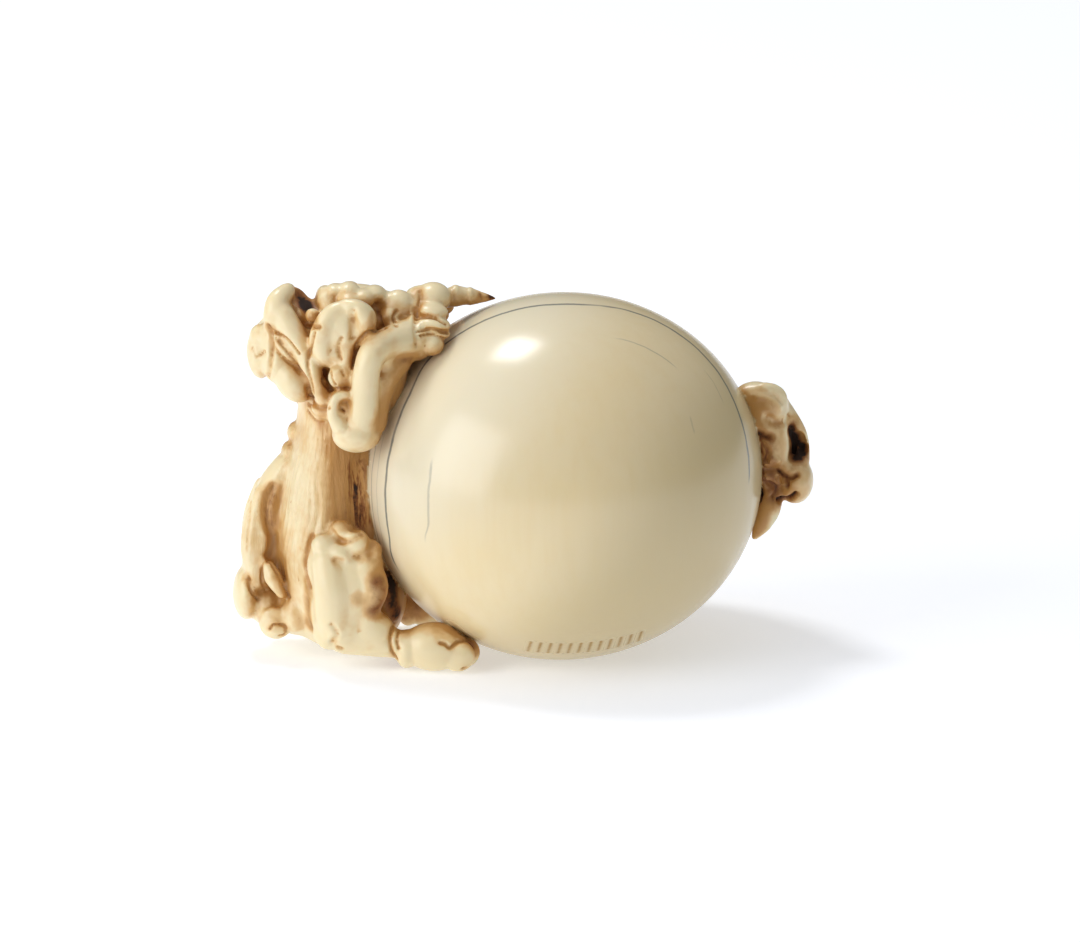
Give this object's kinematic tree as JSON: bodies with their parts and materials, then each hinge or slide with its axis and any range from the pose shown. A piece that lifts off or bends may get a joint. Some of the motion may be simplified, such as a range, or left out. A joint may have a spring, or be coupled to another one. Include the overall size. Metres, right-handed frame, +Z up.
{
  "type": "netsuke",
  "caption": "Netsuke carved from one block: a lion-dog grips a large smooth ball, with its cub behind, and cord holes in the ball's back.",
  "frame": {"origin": "centre of the piece's box, on the plane that the ball's small flat and the hind feet stand on", "axes": "+X from the lion-dog through the ball to the cub, +Y to the side with the cord holes, +Z up"},
  "size_m": [0.0468, 0.0322, 0.0304],
  "materials": {
    "ivory": "polished old ivory, cream on the ball and honey with brown stained recesses on the figures; ceramic stands in because the list has no ivory"
  },
  "bodies": {
    "root": {"netsuke": "ivory"}
  },
  "joints": []
}
